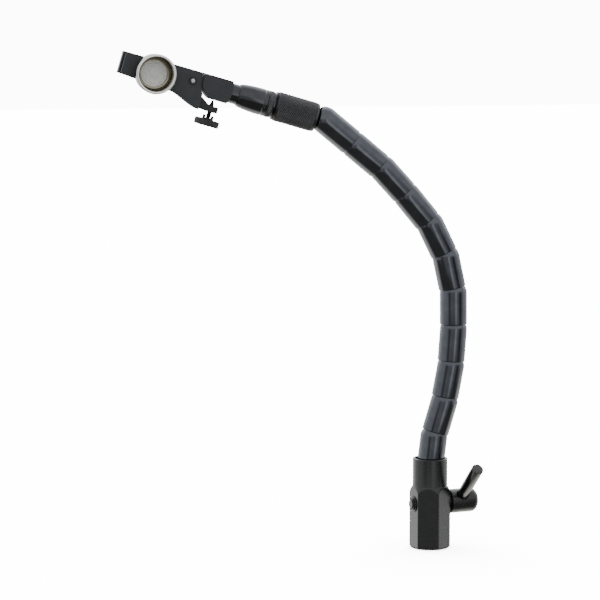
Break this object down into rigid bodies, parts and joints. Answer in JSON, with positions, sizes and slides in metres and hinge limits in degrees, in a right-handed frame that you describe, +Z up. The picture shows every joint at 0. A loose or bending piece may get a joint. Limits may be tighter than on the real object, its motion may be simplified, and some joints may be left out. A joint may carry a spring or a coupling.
{
  "type": "locking flexible gooseneck arm",
  "caption": "Flexible black arm of ball-jointed metal links on a hexagonal base with a cam lever, ending in a clip head with a round polished cup and a thumb screw.",
  "frame": {"origin": "centre of the base's bottom face, at the mouth of the stand thread", "axes": "+Z up along the base, -X towards the head, the arm lies in the XZ plane"},
  "size_m": [0.2724, 0.0444, 0.375],
  "materials": {
    "hex_black": "satin black coat over steel, fine cast grain",
    "link_black": "polished black chrome, blue-grey gun-metal tone",
    "knurl_black": "black oxide, fine diamond knurl",
    "nose_black": "glossy black chrome",
    "clip_black": "matt charcoal powder coat",
    "block_black": "black oxide steel",
    "hub_black": "satin black turned steel",
    "rod_black": "glossy black turned steel",
    "cup_steel": "polished nickel plate",
    "disc_metal": "fine turned, matt",
    "pin_steel": "bright turned",
    "plain_steel": "plain machined steel",
    "cable_steel": "seven-strand steel rope",
    "bronze": "plain bronze"
  },
  "bodies": {
    "root": {"base_block": "hex_black", "thrust_washer": "bronze", "shaft_washer": "hub_black", "tension_cable": "cable_steel"},
    "swivel": {"base_ball": "link_black"},
    "cable_eye": {"cable_eye": "plain_steel"},
    "cam": {"cam_shaft": "hub_black", "shaft_circlip": "block_black", "hub_spacer": "hub_black", "lever_hub": "hub_black", "lever_rod": "rod_black"},
    "link_1": {"link_1": "link_black"},
    "link_2": {"link_2": "link_black"},
    "link_3": {"link_3": "link_black"},
    "link_4": {"link_4": "link_black"},
    "link_5": {"link_5": "link_black"},
    "link_6": {"link_6": "link_black"},
    "link_7": {"link_7": "link_black"},
    "link_8": {"link_8": "link_black"},
    "link_9": {"link_9": "link_black"},
    "link_10": {"link_10": "link_black"},
    "link_11": {"link_11": "link_black"},
    "nose": {"nose": "nose_black", "disc_springs": "plain_steel", "cable_ferrule": "plain_steel", "nose_stud": "plain_steel"},
    "collar": {"tension_collar": "knurl_black"},
    "ring": {"collar_ring": "knurl_black"},
    "bracket": {"clip_bracket": "clip_black", "bracket_grub_screw": "block_black"},
    "clip": {"clip_lever": "clip_black", "pivot_pin": "pin_steel", "pin_rings": "block_black", "nut_block": "block_black", "cup": "cup_steel", "cup_floor_disc": "disc_metal", "cup_screw": "plain_steel", "cup_nut": "plain_steel"},
    "thumb_screw": {"thumb_screw": "block_black", "thumb_wheel": "hub_black"}
  },
  "joints": [
    {"name": "base_swivel", "type": "hinge", "parent": "root", "child": "swivel", "pos_m": [0, 0, 0.061], "axis": [0, 0, 1], "continuous": true},
    {"name": "cam_lever", "type": "hinge", "parent": "root", "child": "cam", "pos_m": [0, 0, 0.0335], "axis": [0.9763, 0.2164, 0], "range_deg": [-110, 0]},
    {"name": "eye_lift", "type": "slide", "parent": "root", "child": "cable_eye", "axis": [0, 0, 1], "range_m": [0, 0.0018]},
    {"name": "bend_1", "type": "hinge", "parent": "swivel", "child": "link_1", "pos_m": [0, 0, 0.061], "axis": [0, 1, 0], "range_deg": [-14.3, 0.7], "deforming": ["tension_cable"]},
    {"name": "bend_2", "type": "hinge", "parent": "link_1", "child": "link_2", "pos_m": [0.00272, 0, 0.08384], "axis": [0, 1, 0], "range_deg": [-25.5, 6.5], "deforming": ["tension_cable"]},
    {"name": "bend_3", "type": "hinge", "parent": "link_2", "child": "link_3", "pos_m": [0.01047, 0, 0.11033], "axis": [0, 1, 0], "range_deg": [-10, 22], "deforming": ["tension_cable"]},
    {"name": "bend_4", "type": "hinge", "parent": "link_3", "child": "link_4", "pos_m": [0.01541, 0, 0.13748], "axis": [0, 1, 0], "range_deg": [-9.7, 22.3], "deforming": ["tension_cable"]},
    {"name": "bend_5", "type": "hinge", "parent": "link_4", "child": "link_5", "pos_m": [0.01733, 0, 0.16502], "axis": [0, 1, 0], "range_deg": [-11.5, 20.5], "deforming": ["tension_cable"]},
    {"name": "bend_6", "type": "hinge", "parent": "link_5", "child": "link_6", "pos_m": [0.01709, 0, 0.19262], "axis": [0, 1, 0], "range_deg": [-4.4, 27.6], "deforming": ["tension_cable"]},
    {"name": "bend_7", "type": "hinge", "parent": "link_6", "child": "link_7", "pos_m": [0.0113, 0, 0.2196], "axis": [0, 1, 0], "range_deg": [-2, 30], "deforming": ["tension_cable"]},
    {"name": "bend_8", "type": "hinge", "parent": "link_7", "child": "link_8", "pos_m": [-0.00084, 0, 0.24439], "axis": [0, 1, 0], "range_deg": [-2.8, 29.2], "deforming": ["tension_cable"]},
    {"name": "bend_9", "type": "hinge", "parent": "link_8", "child": "link_9", "pos_m": [-0.01832, 0, 0.26575], "axis": [0, 1, 0], "range_deg": [-13.1, 18.9], "deforming": ["tension_cable"]},
    {"name": "bend_10", "type": "hinge", "parent": "link_9", "child": "link_10", "pos_m": [-0.03686, 0, 0.28619], "axis": [0, 1, 0], "range_deg": [-8.2, 23.8], "deforming": ["tension_cable"]},
    {"name": "bend_11", "type": "hinge", "parent": "link_10", "child": "link_11", "pos_m": [-0.058, 0, 0.30393], "axis": [0, 1, 0], "range_deg": [-15.7, 16.3], "deforming": ["tension_cable"]},
    {"name": "head_bend", "type": "hinge", "parent": "link_11", "child": "nose", "pos_m": [-0.08093, 0, 0.32297], "axis": [0, 1, 0], "range_deg": [-0.8, 47.2], "deforming": ["tension_cable"]},
    {"name": "collar_spin", "type": "hinge", "parent": "nose", "child": "collar", "pos_m": [-0.10011, 0, 0.32865], "axis": [-0.9588, 0, 0.284], "range_deg": [0, 540]},
    {"name": "ring_spin", "type": "hinge", "parent": "nose", "child": "ring", "pos_m": [-0.1212, 0, 0.3349], "axis": [-0.9588, 0, 0.284], "range_deg": [-270, 270]},
    {"name": "head_roll", "type": "hinge", "parent": "nose", "child": "bracket", "pos_m": [-0.15064, 0, 0.34362], "axis": [-0.9588, 0, 0.284], "range_deg": [-180, 180]},
    {"name": "clip_tilt", "type": "hinge", "parent": "bracket", "child": "clip", "pos_m": [-0.18013, 0, 0.35319], "axis": [0, 1, 0], "range_deg": [0, 6]},
    {"name": "thumb_screw_spin", "type": "hinge", "parent": "clip", "child": "thumb_screw", "pos_m": [-0.16744, 0, 0.32773], "axis": [0.284, 0, 0.9588], "continuous": true}
  ],
  "couplings": [
    {"joint": "eye_lift", "follows": "cam_lever", "m_per_rad": -0.00083882}
  ]
}
